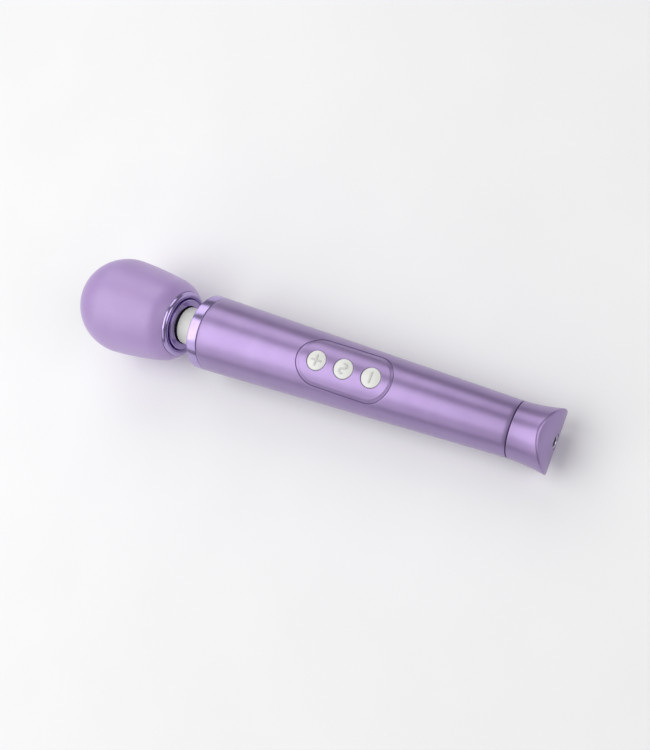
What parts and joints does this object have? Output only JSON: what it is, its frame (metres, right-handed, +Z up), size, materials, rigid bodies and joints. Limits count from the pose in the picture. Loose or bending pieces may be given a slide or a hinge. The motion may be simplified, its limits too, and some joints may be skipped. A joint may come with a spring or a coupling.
{
  "type": "handheld wand massager",
  "caption": "Cordless wand massager: round silicone head on a flexible neck, tapered satin handle with an inlaid button panel and a flared tail.",
  "frame": {"origin": "centre of the bounding box in X and Y, on the plane that the wand lies on", "axes": "+X from the head towards the tail, along the resting wand, +Z up out of the buttons, +Y to the left of someone who looks from the head to the tail"},
  "size_m": [0.2504, 0.0482, 0.0482],
  "materials": {
    "head_silicone": "soft matte silicone",
    "satin_lavender": "satin anodised, fine brushed grain along the handle",
    "polished_lavender": "polished and anodised",
    "neck_silicone": "smooth matte silicone",
    "button_white": "smooth with raised symbols",
    "socket_metal": "bright turned ring",
    "seal_rubber": "dark seam seal",
    "socket_black": "moulded",
    "frame_plastic": "moulded nylon",
    "membrane_silicone": "moulded silicone",
    "turned_metal": "turned",
    "plain_steel": "plated",
    "magnet_ferrite": "sintered",
    "copper": "drawn and enamelled",
    "bearing_bronze": "sintered and oiled",
    "damper_rubber": "moulded",
    "lead_insulation": "extruded",
    "board_green": "solder masked",
    "cell_wrap": "shrink-wrapped",
    "foam_grey": "closed-cell foam"
  },
  "bodies": {
    "handle": {"front_collar": "polished_lavender", "neck_plug_rear": "turned_metal", "neck_screws": "plain_steel", "body_sleeve": "satin_lavender", "control_panel": "satin_lavender", "button_membrane": "membrane_silicone", "tact_switches": "socket_black", "circuit_board": "board_green", "board_parts": "socket_black", "board_screws": "plain_steel", "chassis_upper": "frame_plastic", "chassis_lower": "frame_plastic", "chassis_screws": "plain_steel", "handle_leads": "lead_insulation", "battery_cell": "cell_wrap", "battery_tabs": "plain_steel", "battery_foam": "foam_grey", "tail_seal": "seal_rubber", "tail_cap": "satin_lavender", "charge_board": "board_green", "charge_socket": "socket_black", "socket_bezel": "socket_metal"},
    "neck_mid": {"neck_sleeve": "neck_silicone", "neck_spring": "plain_steel", "neck_leads": "lead_insulation"},
    "head": {"head_cover": "head_silicone", "head_core_front": "frame_plastic", "head_core_rear": "frame_plastic", "head_trim_ring": "polished_lavender", "head_screws": "plain_steel", "neck_plug_front": "turned_metal", "motor_can": "plain_steel", "motor_end_cap": "socket_black", "motor_magnets": "magnet_ferrite", "motor_brushes": "copper", "motor_bush_front": "bearing_bronze", "motor_bush_rear": "bearing_bronze", "motor_sleeve": "damper_rubber", "head_leads": "lead_insulation"},
    "rotor": {"motor_shaft": "plain_steel", "armature_core": "plain_steel", "armature_windings": "copper", "commutator": "copper", "eccentric_weights": "plain_steel"},
    "button_plus": {"button_plus": "button_white"},
    "button_mode": {"button_mode": "button_white"},
    "button_minus": {"button_minus": "button_white"}
  },
  "joints": [
    {"name": "neck_pitch", "type": "hinge", "parent": "handle", "child": "neck_mid", "pos_m": [-0.05323, 0, 0.02177], "axis": [0, 1, 0], "range_deg": [-20, 20], "stiffness_Nm_per_rad": 1.5, "deforming": ["neck_sleeve", "neck_spring", "neck_leads"]},
    {"name": "neck_yaw", "type": "hinge", "parent": "neck_mid", "child": "head", "pos_m": [-0.05923, 0, 0.02206], "axis": [0.0486, 0, 0.9988], "range_deg": [-20, 20], "stiffness_Nm_per_rad": 1.5, "deforming": ["neck_sleeve", "neck_spring", "neck_leads"]},
    {"name": "rotor_spin", "type": "hinge", "parent": "head", "child": "rotor", "pos_m": [-0.10108, 0, 0.0241], "axis": [0.9988, 0, -0.0486], "continuous": true},
    {"name": "press_plus", "type": "slide", "parent": "handle", "child": "button_plus", "axis": [-0.0863, 0, -0.9963], "range_m": [0, 0.0008], "stiffness_N_per_m": 900, "deforming": ["button_membrane"]},
    {"name": "press_mode", "type": "slide", "parent": "handle", "child": "button_mode", "axis": [-0.0863, 0, -0.9963], "range_m": [0, 0.0008], "stiffness_N_per_m": 900, "deforming": ["button_membrane"]},
    {"name": "press_minus", "type": "slide", "parent": "handle", "child": "button_minus", "axis": [-0.0863, 0, -0.9963], "range_m": [0, 0.0008], "stiffness_N_per_m": 900, "deforming": ["button_membrane"]}
  ]
}
